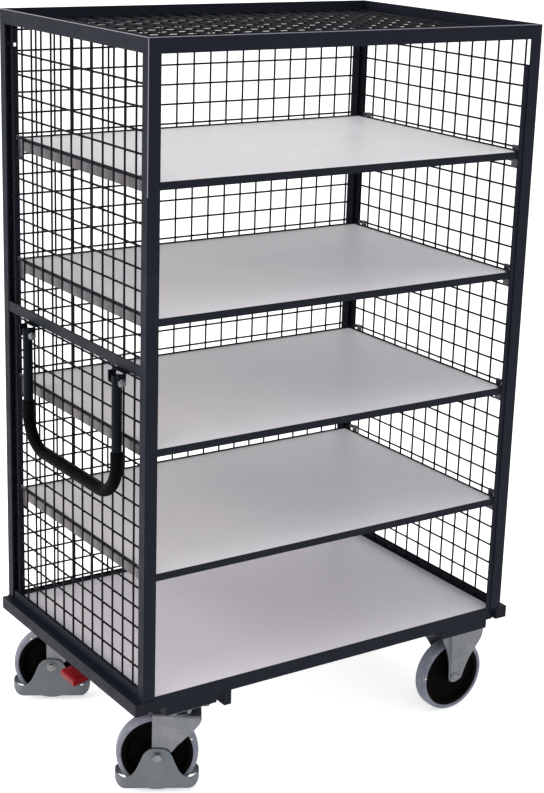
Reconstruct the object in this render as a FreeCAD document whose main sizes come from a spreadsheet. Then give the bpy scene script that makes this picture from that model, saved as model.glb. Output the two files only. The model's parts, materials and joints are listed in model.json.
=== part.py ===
"""Shelved mesh trolley: a wheeled steel cage, open at the front, with four hook-in shelves.

The driving sizes are in the spreadsheet "Sizes", in millimetres and degrees. X runs along the long
side, from the push-handle end to the plain end. Y runs from the open front to the rear. Z is up.
The origin is on the floor, under the middle of the whole object.

Places in the cage are written from the foot of its front left corner: x from the left posts, y
from the front posts, z from the floor. place() and spot() turn them into the object's frame.
Caster parts are written from the floor under their own pivot, with the axle along Y.
"""
import FreeCAD, Part
import Sketcher
import math
import os
import re

Vector = FreeCAD.Vector
UP = Vector(0, 0, 1)
ALONG_X = Vector(1, 0, 0)
ALONG_Y = Vector(0, 1, 0)

doc = FreeCAD.newDocument("shelved_mesh_trolley")
sheet = doc.addObject("Spreadsheet::Sheet", "Sizes")

SIZES = {
    # cage
    "cage_length": 1075, "cage_depth": 710, "total_height": 1815,
    "post_face": 32, "post_side": 26, "steel": 3, "right_out": 6,
    "top_rail": 35, "mid_rail": 26, "mid_rail_z": 1076,
    "pitch": 50, "wire": 5, "left_wire_y": 11, "right_wire_y": 37, "rear_wire_x": 37.5,
    "foot_angle": 24, "foot_leg": 10, "rear_foot": 8, "rear_leg": 15, "first_level": 19,
    # base
    "base_top": 296, "rail_size": 35, "end_rail_high": 32, "rail_reach": 22, "right_reach": 30,
    "tube_wall": 2, "rail_setback": 12,
    "deck_thick": 15, "deck_corner": 8, "cap_head": 2.5,
    "cross_x": 230, "cross_width": 20, "cross_depth": 37,
    "channel_wall": 4, "channel_left": 140, "left_inset": 68, "channel_right": 148,
    "right_inset": 25,
    # shelves
    "shelf_first": 610, "shelf_step": 300, "board_thick": 16, "edge_high": 18, "edge_leg": 22,
    "edge_sheet": 2, "edge_rim": 4, "left_clear": 18, "right_clear": 34, "shelf_front": 4,
    "shelf_rear": 48, "carrier_high": 24, "carrier_thick": 2.5,
    "hook_wide": 20, "hook_thick": 2, "hook_front": 32, "hook_rear": 58,
    # handle
    "handle_axis_x": 17, "handle_axis_z": 1051, "handle_front_y": 102,
    "handle_width": 450, "handle_tube": 24, "handle_wall": 2, "handle_drop": 283,
    "handle_bend": 85, "grip_size": 30, "grip_drop": 168, "bracket_gap": 41, "bracket_wall": 4,
    "handle_bolt": 8,
    # casters
    "caster_x": 145, "fixed_x": 93.5, "caster_y": 74, "caster_height": 239, "trail": 55,
    "swivel_turn": -30, "fixed_plate": 135, "fixed_bolts": 105, "fixed_bolts_wide": 50,
    "swivel_plate": 116, "swivel_bolts": 92, "swivel_bolts_wide": 84, "plate_wide": 110,
    "plate_thick": 5, "plate_hole": 11,
    "wheel": 200, "wheel_wide": 40, "tread": 13, "axle": 12, "hub_long": 49,
    "fork_inside": 50, "fork_sheet": 4, "crown_top": 213, "pivot_head": 64,
    "guard_long": 204, "guard_wide": 68, "guard_wall": 3, "guard_low": 15,
    # brake
    "brake_z": 222, "brake_hex": 11, "pedal_shift": 17, "pad_wide": 70, "pad_deep": 50, "pad_thick": 13,
    "shoe_gap": 4,
}

LEFT = "((handle_axis_x + grip_size / 2 - right_reach - cage_length) / 2)"
FRONT = "(-cage_depth / 2)"

for row, (alias, number) in enumerate(SIZES.items(), 1):
    sheet.set("A%d" % row, alias)
    sheet.set("B%d" % row, str(number))
    sheet.setAlias("B%d" % row, alias)
doc.recompute()

ALIASES = re.compile(r"\b(%s)\b" % "|".join(SIZES))
NODES = []


# ---- helpers ---------------------------------------------------------------------------------

def link(text):
    """Turn the sheet aliases in an expression into references to the sheet."""
    return ALIASES.sub(r"Sizes.\1", str(text))


def size(text):
    """Read an expression of sheet aliases as a number."""
    return float(sheet.evalExpression(link(text)))


def bind(item, **sizes):
    for prop, text in sizes.items():
        item.setExpression(prop, link(text))
    return item


def place(item, x, y, z):
    """Bind an object's place in the cage."""
    item.setExpression("Placement.Base.x", link("%s + %s" % (LEFT, x)))
    item.setExpression("Placement.Base.y", link("%s + %s" % (FRONT, y)))
    item.setExpression("Placement.Base.z", link(z))
    return item


def spot(x, y, z):
    """A place in the cage as a vector in the object's frame."""
    return Vector(size(LEFT) + x, size(FRONT) + y, z)


def node(label, item):
    """Name a finished sub-part, which is written to its own file."""
    item.Label = label
    NODES.append(item)
    return item


def box(name, length, width, height, x, y, z):
    item = bind(doc.addObject("Part::Box", name), Length=length, Width=width, Height=height)
    return place(item, x, y, z)


def rod(name, radius, length, x, y, z, direction=UP):
    item = bind(doc.addObject("Part::Cylinder", name), Radius=radius, Height=length)
    item.Placement.Rotation = FreeCAD.Rotation(UP, direction)
    return place(item, x, y, z)


def cut(name, base, tool):
    item = doc.addObject("Part::Cut", name)
    item.Base = base
    item.Tool = tool
    return item


def fuse(name, pieces):
    item = doc.addObject("Part::MultiFuse", name)
    item.Shapes = pieces
    return item


def group(name, pieces):
    """Separate solids that share one node."""
    item = doc.addObject("Part::Compound", name)
    item.Links = pieces
    return item


def feature(name, shape, turn=None, at=None):
    """A sub-part made with Part's own functions; its Placement is set after its Shape."""
    item = doc.addObject("Part::Feature", name)
    item.Shape = shape
    if at is not None:
        moved = FreeCAD.Placement(at, FreeCAD.Rotation(UP, turn or 0))
        item.Placement = moved.multiply(item.Placement)
    return item


def angle(name, upright, flat):
    """A steel angle from its upright flange and its flat flange, each (l, w, h, x, y, z)."""
    return fuse(name, [box(name + "_upright", *upright), box(name + "_flat", *flat)])


def prism(points, depth, direction):
    """An extruded polygon."""
    return Part.Face(Part.makePolygon(points + points[:1])).extrude(direction * depth)


def plane_of(body, role):
    return [item for item in body.Origin.OriginFeatures if item.Role == role][0]


def plate(name, length, width, thick, corner=None):
    """A PartDesign plate, padded up from a rectangle centred on the body's own origin."""
    body = doc.addObject("PartDesign::Body", name)
    sketch = body.newObject("Sketcher::SketchObject", name + "_outline")
    sketch.AttachmentSupport = [(plane_of(body, "XY_Plane"), "")]
    sketch.MapMode = "FlatFace"
    corners = [Vector(-9, -9, 0), Vector(9, -9, 0), Vector(9, 9, 0), Vector(-9, 9, 0)]
    for start, end in zip(corners, corners[1:] + corners[:1]):
        sketch.addGeometry(Part.LineSegment(start, end), False)
    for rule in (("Coincident", 0, 2, 1, 1), ("Coincident", 1, 2, 2, 1),
                 ("Coincident", 2, 2, 3, 1), ("Coincident", 3, 2, 0, 1),
                 ("Horizontal", 0), ("Horizontal", 2), ("Vertical", 1), ("Vertical", 3),
                 ("Symmetric", 0, 1, 2, 1, -1, 1)):
        sketch.addConstraint(Sketcher.Constraint(*rule))
    along = sketch.addConstraint(Sketcher.Constraint("DistanceX", 0, 1, 0, 2, 18.0))
    across = sketch.addConstraint(Sketcher.Constraint("DistanceY", 1, 1, 1, 2, 18.0))
    sketch.setExpression("Constraints[%d]" % along, link(length))
    sketch.setExpression("Constraints[%d]" % across, link(width))
    pad = body.newObject("PartDesign::Pad", name + "_pad")
    pad.Profile = sketch
    pad.setExpression("Length", link(thick))
    if corner:
        doc.recompute()
        upright = ["Edge%d" % number for number, edge in enumerate(pad.Shape.Edges, 1)
                   if abs(edge.Vertexes[0].Z - edge.Vertexes[-1].Z) > 1]
        rounding = body.newObject("PartDesign::Fillet", name + "_corners")
        rounding.Base = (pad, upright)
        rounding.setExpression("Radius", link(corner))
    return body


# ---- base ------------------------------------------------------------------------------------

RAIL_LOW = "(base_top - rail_size)"
END_LOW = "(base_top - end_rail_high)"
LEFT_INNER = "(rail_size - rail_reach)"
RIGHT_INNER = "(cage_length + right_reach - rail_size)"


def end_rail(label, x):
    """A tube across one end, under the posts."""
    outer = box(label + "_outer", "rail_size", "cage_depth", "end_rail_high", x, "0", END_LOW)
    hollow = box(label + "_hollow", "rail_size - 2 * tube_wall", "cage_depth + 2",
                 "end_rail_high - 2 * tube_wall", "%s + tube_wall" % x, "-1",
                 END_LOW + " + tube_wall")
    node(label, cut(label + "_tube", outer, hollow))


def end_rail_caps():
    """A plastic plug in each open end of the two end tubes."""
    caps = []
    for side, x in enumerate(("-rail_reach", RIGHT_INNER)):
        for end in (0, 1):
            name = "cap_%d%d" % (side, end)
            head_y = "-cap_head" if end == 0 else "cage_depth"
            plug_y = "0" if end == 0 else "cage_depth - 10"
            head = box(name + "_head", "rail_size - 1", "cap_head", "end_rail_high - 1",
                       "%s + 0.5" % x, head_y, END_LOW + " + 0.5")
            plug = box(name + "_plug", "rail_size - 2 * tube_wall - 1", "10",
                       "end_rail_high - 2 * tube_wall - 1", "%s + tube_wall + 0.5" % x, plug_y,
                       END_LOW + " + tube_wall + 0.5")
            caps.append(fuse(name, [head, plug]))
    node("end_rail_caps", group("caps", caps))


def long_rails():
    """Angles along the front and rear edges, set back a little from the posts."""
    long = "%s - %s" % (RIGHT_INNER, LEFT_INNER)
    rails = []
    for name, upright_y, flat_y in (
            ("rail_front", "rail_setback", "rail_setback"),
            ("rail_rear", "cage_depth - rail_setback - steel",
             "cage_depth - rail_setback - rail_size")):
        upright = (long, "steel", "rail_size", LEFT_INNER, upright_y, RAIL_LOW)
        flat = (long, "rail_size", "steel", LEFT_INNER, flat_y, RAIL_LOW)
        rails.append(angle(name, upright, flat))
    node("base_long_rails", group("long_rails", rails))


def deck():
    """The loading deck: a laminated board, flush with the rails, on tube bearers."""
    body = plate("deck", "%s - %s" % (RIGHT_INNER, LEFT_INNER),
                 "cage_depth - 2 * rail_setback - 2 * steel", "deck_thick", "deck_corner")
    place(body, "(%s + %s) / 2" % (LEFT_INNER, RIGHT_INNER), "cage_depth / 2",
          "base_top - deck_thick")
    node("deck_board", body)


def bearers():
    """Flat tubes between the long rails, under the deck."""
    tubes = []
    for number in range(4):
        x = "cage_length * %s / 8 - 15" % (2 * number + 1)
        tubes.append(box("bearer_%d" % number, "30", "cage_depth - 2 * rail_setback - 2 * steel",
                           "rail_size - steel - deck_thick", x, "rail_setback + steel",
                           RAIL_LOW + " + steel"))
    return tubes


def cross_members():
    """A box tube under the long rails, inboard of the swivel casters, and the deck bearers."""
    outer = box("cross_outer", "cross_width", "cage_depth - 2 * rail_setback", "cross_depth",
                "cross_x", "rail_setback", RAIL_LOW + " - cross_depth")
    hollow = box("cross_hollow", "cross_width - 2 * tube_wall",
                 "cage_depth - 2 * rail_setback - 2 * tube_wall", "cross_depth - 2 * tube_wall",
                 "cross_x + tube_wall", "rail_setback + tube_wall",
                 RAIL_LOW + " - cross_depth + tube_wall")
    node("cross_members", group("crosses", bearers() + [cut("cross_tube", outer, hollow)]))


def caster_channels():
    """Wide shallow channels across both ends, which carry the casters under their webs."""
    channels = []
    depth = "%s - caster_height" % RAIL_LOW
    for name, wide, x, middle, bolts in (
            ("channel_l", "channel_left", "left_inset", "caster_x", "swivel_bolts"),
            ("channel_r", "channel_right", "cage_length - right_inset - channel_right",
             "cage_length - fixed_x", "fixed_bolts")):
        outer = box(name + "_outer", wide, "cage_depth - 2 * rail_setback", depth,
                    x, "rail_setback", "caster_height")
        hollow = box(name + "_hollow", "%s - 2 * channel_wall" % wide,
                     "cage_depth - 2 * rail_setback - 2 * channel_wall", depth,
                     "%s + channel_wall" % x, "rail_setback + channel_wall",
                     "caster_height + channel_wall")
        channel = cut(name, outer, hollow)
        channels.append(cut(name + "_drilled", channel, plate_holes(name, middle, bolts)))
    node("caster_channels", group("channels", channels))


def plate_holes(name, middle, bolts):
    """The eight bolt holes that a channel shares with its two caster plates."""
    holes = []
    for caster_y in ("caster_y", "cage_depth - caster_y"):
        for along in ("- %s / 2" % bolts, "+ %s / 2" % bolts):
            for across in ("- %s_wide / 2" % bolts, "+ %s_wide / 2" % bolts):
                holes.append(rod("%s_hole_%d" % (name, len(holes)), "plate_hole / 2", "10",
                                 "%s %s" % (middle, along), "%s %s" % (caster_y, across),
                                 "caster_height - 2"))
    return fuse(name + "_holes", holes)


# ---- cage ------------------------------------------------------------------------------------

POST_HIGH = "total_height - top_rail - base_top"


def post(label, right, rear):
    """A corner angle, flush with the top ring, with a flange to the front or rear and the side."""
    face_x = "cage_length + right_out - post_face" if right else "-steel"
    side_x = "cage_length + right_out - steel" if right else "-steel"
    face_y = "cage_depth" if rear else "-steel"
    side_y = "cage_depth + steel - post_side" if rear else "-steel"
    face = box(label + "_face", "post_face", "steel", POST_HIGH, face_x, face_y, "base_top")
    side = box(label + "_side", "steel", "post_side", POST_HIGH, side_x, side_y, "base_top")
    node(label, fuse(label + "_angle", [face, side]))


def top_rail_long(label, rear):
    """A front or rear angle of the top ring, over the posts."""
    long = "cage_length + steel + right_out"
    low = "total_height - top_rail"
    upright_y = "cage_depth" if rear else "-steel"
    flat_y = "cage_depth + steel - top_rail" if rear else "-steel"
    upright = (long, "steel", "top_rail", "-steel", upright_y, low)
    flat = (long, "top_rail", "steel", "-steel", flat_y, low)
    node(label, angle(label + "_angle", upright, flat))


def top_rail_side(label, right):
    """A left or right angle of the top ring, between the front and rear ones."""
    low = "total_height - top_rail"
    upright_x = "cage_length + right_out - steel" if right else "-steel"
    flat_x = "cage_length + right_out - top_rail" if right else "-steel"
    upright = ("steel", "cage_depth", "top_rail - steel", upright_x, "0", low + " + steel")
    flat = ("top_rail", "cage_depth - 2 * top_rail + 2 * steel", "steel", flat_x,
            "top_rail - steel", low)
    node(label, angle(label + "_angle", upright, flat))


def foot_angles():
    """Angles along the left, right and rear edges of the deck, which hold the mesh's foot."""
    high, leg = "foot_angle", "foot_leg"
    side = "cage_depth - 2 * post_side"
    rear_x = "post_face + 4"
    rear = "cage_length - 2 * (%s)" % rear_x
    pieces = [
        angle("foot_left", ("steel", side, high, "0", "post_side", "base_top"),
              (leg, side, "steel", "0", "post_side", "base_top")),
        angle("foot_right", ("steel", side, high, "cage_length - steel", "post_side", "base_top"),
              (leg, side, "steel", "cage_length - %s" % leg, "post_side", "base_top")),
        angle("foot_rear",
              (rear, "steel", "rear_foot", rear_x, "cage_depth - steel", "base_top"),
              (rear, "rear_leg", "steel", rear_x, "cage_depth - rear_leg", "base_top")),
    ]
    node("foot_angles", group("foot_group", pieces))


def mid_rail():
    """A flat bar between the left posts, which carries the push handle."""
    node("mid_rail_left", box("mid_bar", "steel + 2", "cage_depth - 2 * post_side + 2 * steel",
                              "mid_rail", "-2", "post_side - steel", "mid_rail_z"))


def wires(start, step, across, count, length):
    """A row of parallel wires, each from start, moved by step along across."""
    radius = size("wire") / 2
    return [Part.makeCylinder(radius, length.Length, start + across * step * number,
                              Vector(length).normalize()) for number in range(count)]


def side_mesh(label, plane_x, inward, first_y):
    """A left or right wire panel: upright wires outside, level wires welded inside them."""
    wire, pitch, low = size("wire"), size("pitch"), size("base_top + steel")
    high = size("total_height - top_rail") - low
    depth = size("cage_depth")
    upright_x = plane_x + inward * wire / 2
    level_x = plane_x + inward * wire * 1.5
    level_z = size("base_top + first_level")
    count_y = int((depth - 15 - first_y) // pitch) + 1
    count_z = int((size("total_height - top_rail") - level_z - 20) // pitch) + 1
    uprights = wires(spot(upright_x, first_y, low), pitch, ALONG_Y, count_y, UP * high)
    levels = wires(spot(level_x, 7, level_z), pitch, UP, count_z, ALONG_Y * (depth - 18))
    node(label, feature(label + "_wires", Part.makeCompound(uprights + levels)))


def rear_mesh():
    """The rear wire panel: upright wires outside, level wires inside."""
    wire, pitch, low = size("wire"), size("pitch"), size("base_top + steel")
    high = size("total_height - top_rail") - low
    plane_y = size("cage_depth - steel")
    first_x = size("rear_wire_x")
    level_z = size("base_top + first_level")
    count_x = int((size("cage_length") - 30 - first_x) // pitch) + 1
    count_z = int((size("total_height - top_rail") - level_z - 5) // pitch) + 1
    uprights = wires(spot(first_x, plane_y - wire / 2, low), pitch, ALONG_X, count_x, UP * high)
    inset = size("steel") + 2.2 * wire
    length = size("cage_length") - 2 * inset
    levels = wires(spot(inset, plane_y - wire * 1.5, level_z), pitch, UP, count_z,
                   ALONG_X * length)
    node("mesh_rear", feature("rear_wires", Part.makeCompound(uprights + levels)))


def roof_mesh():
    """The roof panel, which lies on the flat flanges of the top ring."""
    wire, pitch = size("wire"), size("pitch")
    floor = size("total_height - top_rail + steel")
    length, depth = size("cage_length"), size("cage_depth")
    first_x = size("rear_wire_x")
    count_x = int((length - 20 - first_x) // pitch) + 1
    first_y = (depth - pitch * int((depth - 20) // pitch)) / 2
    count_y = int((depth - 5 - first_y) // pitch) + 1
    along = wires(spot(4, first_y, floor + wire / 2), pitch, ALONG_Y, count_y,
                  ALONG_X * (length - 8))
    across = wires(spot(first_x, 4, floor + wire * 1.5), pitch, ALONG_X, count_x,
                   ALONG_Y * (depth - 8))
    node("mesh_roof", feature("roof_wires", Part.makeCompound(along + across)))


def dome_head(centre, radius, high, direction):
    """A low domed screw head that stands on a face."""
    ball = (radius * radius + high * high) / (2 * high)
    shoulder = math.sqrt(ball * ball - (ball - high / 2) ** 2)
    profile = [Part.Arc(Vector(radius, 0, 0), Vector(shoulder, 0, high / 2),
                        Vector(0, 0, high)).toShape(),
               Part.makeLine(Vector(0, 0, high), Vector()),
               Part.makeLine(Vector(), Vector(radius, 0, 0))]
    dome = Part.Face(Part.Wire(profile)).revolve(Vector(), UP, 360)
    dome.Placement = FreeCAD.Placement(centre, FreeCAD.Rotation(UP, direction))
    return dome


def panel_fixings():
    """Strips that clamp and pack out the mesh at the posts, rear corner plates, and the screws."""
    strip_wide, strip_thick, tab_wide, tab_high = 20, 2, 20, 44
    front_wide = 24
    length, depth, steel = size("cage_length"), size("cage_depth"), size("steel")
    start = steel + 2.5 * size("wire")
    behind = depth - steel - 2 * size("wire") - strip_thick
    low = size("base_top")
    top = size("total_height - top_rail") - 2
    clamp_high = top - tab_high - 8 - low
    strips, screws = packing_strips(low, top), []
    for right in (False, True):
        strip_x = length - start - strip_wide if right else start
        tab_x = length - start - tab_wide if right else start
        strips.append(Part.makeBox(strip_wide, strip_thick, clamp_high,
                                   spot(strip_x, behind, low)))
        for height in range(370, 1721, 150):
            screws.append(dome_head(spot(strip_x + strip_wide / 2, behind, height), 5, 2.6,
                                    -ALONG_Y))
        strips.append(Part.makeBox(tab_wide, 3, tab_high, spot(tab_x, behind - 1, top - tab_high)))
        for lift in (12, 32):
            centre = spot(tab_x + tab_wide / 2, behind - 1, top - tab_high + lift)
            screws.append(dome_head(centre, 6.5, 4, -ALONG_Y))
    strips.append(Part.makeBox(front_wide, 3, clamp_high - 8,
                               spot(length - start - front_wide, 0, low)))
    node("panel_strips", feature("strips", Part.makeCompound(strips)))
    node("panel_screws", feature("screws", Part.makeCompound(screws)))


def packing_strips(low, top):
    """Flat bars that fill the gap between the post flanges and the mesh."""
    length, depth, steel = size("cage_length"), size("cage_depth"), size("steel")
    wide, right_thick = 16, size("right_out")
    bars = []
    for y in (steel, depth - steel - wide):
        bars.append(Part.makeBox(steel, wide, top - low, spot(0, y, low)))
        bars.append(Part.makeBox(right_thick, wide, top - low, spot(length - steel, y, low)))
    for x in (2 * steel, length - 2 * steel - wide):
        bars.append(Part.makeBox(wide, steel, top - low, spot(x, depth - steel, low)))
    return bars


# ---- shelves ---------------------------------------------------------------------------------

SHELF_TOPS = ["shelf_first + %d * shelf_step" % number for number in range(4)]


SHELF_DEPTH = "(cage_depth - shelf_front - shelf_rear)"


def shelf(number, top):
    """A laminated board in a frame of two edge angles and two end plates.

    The rear angle and the end plates stand above the board as a low rim.
    """
    long = "(cage_length - left_clear - right_clear)"
    body = plate("board_%d" % number, long + " - 2 * edge_sheet",
                 SHELF_DEPTH + " - 2 * edge_sheet", "board_thick")
    place(body, "left_clear + %s / 2" % long, "shelf_front + %s / 2" % SHELF_DEPTH,
          "%s - board_thick" % top)
    node("shelf_board_%d" % number, body)
    low = "%s - edge_high" % top
    rear = "(cage_depth - shelf_rear)"
    edges = []
    for name, upright_y, leg_y, high in (
            ("edge_front_%d", "shelf_front", "shelf_front", "edge_high"),
            ("edge_rear_%d", rear + " - edge_sheet", rear + " - edge_leg",
             "edge_high + edge_rim")):
        edges.append(angle(name % number,
                           (long, "edge_sheet", high, "left_clear", upright_y, low),
                           (long, "edge_leg", "edge_sheet", "left_clear", leg_y, low)))
    for side, x in enumerate(("left_clear", "cage_length - right_clear - edge_sheet")):
        edges.append(box("edge_end_%d%d" % (number, side), "edge_sheet",
                         SHELF_DEPTH + " - 2 * edge_sheet", "board_thick + edge_rim",
                         x, "shelf_front + edge_sheet", "%s - board_thick" % top))
    return edges


def shelves():
    """Four shelves with their edge angles, end carriers and the straps that hook on the mesh."""
    edges, carriers = [], []
    for number, top in enumerate(SHELF_TOPS, 1):
        edges += shelf(number, top)
        for side, x in enumerate(("left_clear - carrier_thick", "cage_length - right_clear")):
            carriers.append(box("carrier_%d%d" % (number, side), "carrier_thick",
                                SHELF_DEPTH + " - 8", "carrier_high", x, "shelf_front + 4",
                                "%s - 3 - carrier_high" % top))
    node("shelf_edges", group("edge_group", edges))
    node("shelf_carriers", group("carrier_group", carriers))
    node("shelf_hooks", feature("hook_straps", Part.makeCompound(hooks())))


def hooks():
    """Zinc straps, bent over the mesh wire just above each shelf.

    The left ones lie flat against their carrier, and the front pair ends level with it. A short
    tongue joins each right one to its carrier.
    """
    depth, length = size("cage_depth"), size("cage_length")
    tongue_end = size("right_clear") - size("carrier_thick") - 0.2
    straps = []
    for number in range(4):
        wire_z = size("shelf_first") + number * size("shelf_step") + 5
        for y in (size("hook_front"), depth - size("hook_rear") - size("hook_wide")):
            left = hook_strap(wire_z, 50 if y > depth / 2 else 32)
            right = hook_strap(wire_z, 50, tongue_end).mirror(Vector(length / 2, 0, 0), ALONG_X)
            for strap in (left, right):
                strap.translate(spot(0, y, 0))
                straps.append(strap)
    return straps


def hook_strap(wire_z, drop, tongue_end=None):
    """One strap: its section in X and Z, extruded by its width along Y."""
    radius, thick = size("wire") / 2, size("hook_thick")
    inner = size("steel") + 2 * size("wire") + 0.2
    outer_top = wire_z + radius + thick + 0.2
    face = inner + thick
    section = [(inner, wire_z - drop), (face, wire_z - drop)]
    if tongue_end:
        tongue_z = wire_z - 27
        section += [(face, tongue_z), (tongue_end, tongue_z), (tongue_end, tongue_z + thick),
                    (face, tongue_z + thick)]
    section += [(face, outer_top), (inner - 2 * radius + 0.4, outer_top),
                (inner - 2 * radius + 0.4, outer_top - thick), (inner, outer_top - thick)]
    return prism([Vector(x, 0, z) for x, z in section], size("hook_wide"), ALONG_Y)


# ---- push handle -----------------------------------------------------------------------------

def handle_path(top_z, inset=0.0):
    """The centre line of the handle: two legs joined by a level run, with round bends."""
    x = -size("handle_axis_x")
    first = size("handle_front_y")
    last = first + size("handle_width")
    low = size("handle_axis_z - handle_drop")
    bend = size("handle_bend")
    lean = bend * math.sqrt(0.5)
    legs = [Part.LineSegment(spot(x, first, top_z), spot(x, first, low + bend)),
            Part.Arc(spot(x, first, low + bend),
                     spot(x, first + bend - lean, low + bend - lean), spot(x, first + bend, low)),
            Part.LineSegment(spot(x, first + bend, low), spot(x, last - bend, low)),
            Part.Arc(spot(x, last - bend, low),
                     spot(x, last - bend + lean, low + bend - lean), spot(x, last, low + bend)),
            Part.LineSegment(spot(x, last, low + bend), spot(x, last, top_z))]
    return Part.Wire([leg.toShape() for leg in legs])


def swept(path, top_z, radius):
    """A round bar swept along the handle's centre line."""
    start = spot(-size("handle_axis_x"), size("handle_front_y"), top_z)
    ring = Part.Wire(Part.makeCircle(radius, start, -UP))
    return path.makePipeShell([ring], True, True)


def push_handle():
    """A bent tube with a sleeve grip, hung from two clevis brackets."""
    axis_z = size("handle_axis_z")
    radius = size("handle_tube") / 2
    top = axis_z + 13
    solid = swept(handle_path(top), top, radius)
    hollow = swept(handle_path(top), top, radius - size("handle_wall"))
    first = size("handle_front_y")
    last = first + size("handle_width")
    tube = solid.cut(hollow)
    bore = size("handle_bolt") / 2 + 0.08
    for y in (first, last):
        hole_at = spot(-size("handle_axis_x"), y - 20, axis_z)
        tube = tube.cut(Part.makeCylinder(bore, 40, hole_at, ALONG_Y))
    node("handle_tube", feature("bent_tube", tube))
    grip_top = axis_z - size("grip_drop")
    sleeve = swept(handle_path(grip_top), grip_top, size("grip_size") / 2)
    sleeve = sleeve.cut(swept(handle_path(grip_top), grip_top, radius))
    node("handle_grip", feature("grip_sleeve", sleeve))


def handle_brackets():
    """Two clevises under the mid rail: a top web and two round-ended ears each."""
    x_axis, axis_z = size("handle_axis_x"), size("handle_axis_z")
    gap, wall, round_end = size("bracket_gap"), size("bracket_wall"), 10
    web_low = size("mid_rail_z") - wall
    bore = size("handle_bolt") / 2
    brackets = []
    for y in (size("handle_front_y"), size("handle_front_y + handle_width")):
        web = Part.makeBox(15, gap + 2 * wall, wall, spot(-12, y - gap / 2 - wall, web_low))
        pieces = [web]
        for ear_y in (y - gap / 2 - wall, y + gap / 2):
            pieces.append(Part.makeBox(2 * round_end, wall, web_low - axis_z,
                                       spot(-x_axis - round_end, ear_y, axis_z)))
            pieces.append(Part.makeCylinder(round_end, wall, spot(-x_axis, ear_y, axis_z),
                                            ALONG_Y))
        hole = Part.makeCylinder(bore, 60, spot(-x_axis, y - 30, axis_z), ALONG_Y)
        brackets.append(web.multiFuse(pieces[1:]).cut(hole).removeSplitter())
    node("handle_brackets", feature("clevises", Part.makeCompound(brackets)))


def handle_bolts():
    """A coach bolt through each clevis and tube, with a hex nut on its far end."""
    x_axis, axis_z = size("handle_axis_x"), size("handle_axis_z")
    reach = size("bracket_gap") / 2 + size("bracket_wall")
    bolts = []
    for y in (size("handle_front_y"), size("handle_front_y + handle_width")):
        shank = Part.makeCylinder(size("handle_bolt") / 2, 2 * reach + 9,
                                  spot(-x_axis, y - reach, axis_z), ALONG_Y)
        head = dome_head(spot(-x_axis, y - reach, axis_z), 10.5, 7, -ALONG_Y)
        nut = hexagon(13, 6.5, spot(-x_axis, y + reach, axis_z), ALONG_Y)
        bolts.append(shank.multiFuse([head, nut]))
    node("handle_bolts", feature("pivot_bolts", Part.makeCompound(bolts)))


def hexagon(across, high, centre, direction):
    """A hexagonal prism, measured across its flats, that stands on centre."""
    radius = across / math.sqrt(3)
    points = [Vector(radius * math.cos(math.radians(60 * side)),
                     radius * math.sin(math.radians(60 * side)), 0) for side in range(6)]
    solid = prism(points, high, UP)
    solid.Placement = FreeCAD.Placement(centre, FreeCAD.Rotation(UP, direction))
    return solid


# ---- casters ---------------------------------------------------------------------------------

def caster_spot(x, rear):
    """The point on the floor under a caster's plate."""
    return spot(x, size("cage_depth - caster_y") if rear else size("caster_y"), 0)


def top_plate(long, bolts):
    """A caster's top plate with its four bolt holes."""
    wide, thick = size("plate_wide"), size("plate_thick")
    high = size("caster_height")
    flat = Part.makeBox(long, wide, thick, Vector(-long / 2, -wide / 2, high - thick))
    flat = flat.makeFillet(10, [edge for edge in flat.Edges
                                if abs(edge.Vertexes[0].Z - edge.Vertexes[-1].Z) > 1])
    for x, y in bolt_places(bolts):
        flat = flat.cut(Part.makeCylinder(size("plate_hole") / 2, 3 * thick,
                                          Vector(x, y, high - 2 * thick)))
    return flat


def bolt_places(bolts):
    """The four bolts of a plate, from the name of the size that sets them apart along X."""
    half_x, half_y = size(bolts) / 2, size(bolts + "_wide") / 2
    return [(x, y) for x in (-half_x, half_x) for y in (-half_y, half_y)]


def swivel_head():
    """The fixed part of a swivel caster: plate and pivot housing, bored for the brake shaft."""
    low = size("crown_top") + 0.5
    high = size("caster_height") - size("plate_thick")
    radius = size("pivot_head") / 2
    housing = Part.makeCylinder(radius, high - low, Vector(0, 0, low))
    cross = Part.makeCylinder(6.6, 4 * radius, Vector(0, -2 * radius, size("brake_z")), ALONG_Y)
    core = Part.makeCylinder(5, size("brake_z") - low, Vector(0, 0, low))
    plate_part = top_plate(size("swivel_plate"), "swivel_bolts")
    return plate_part.fuse(housing).cut(cross).cut(core).removeSplitter()


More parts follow.
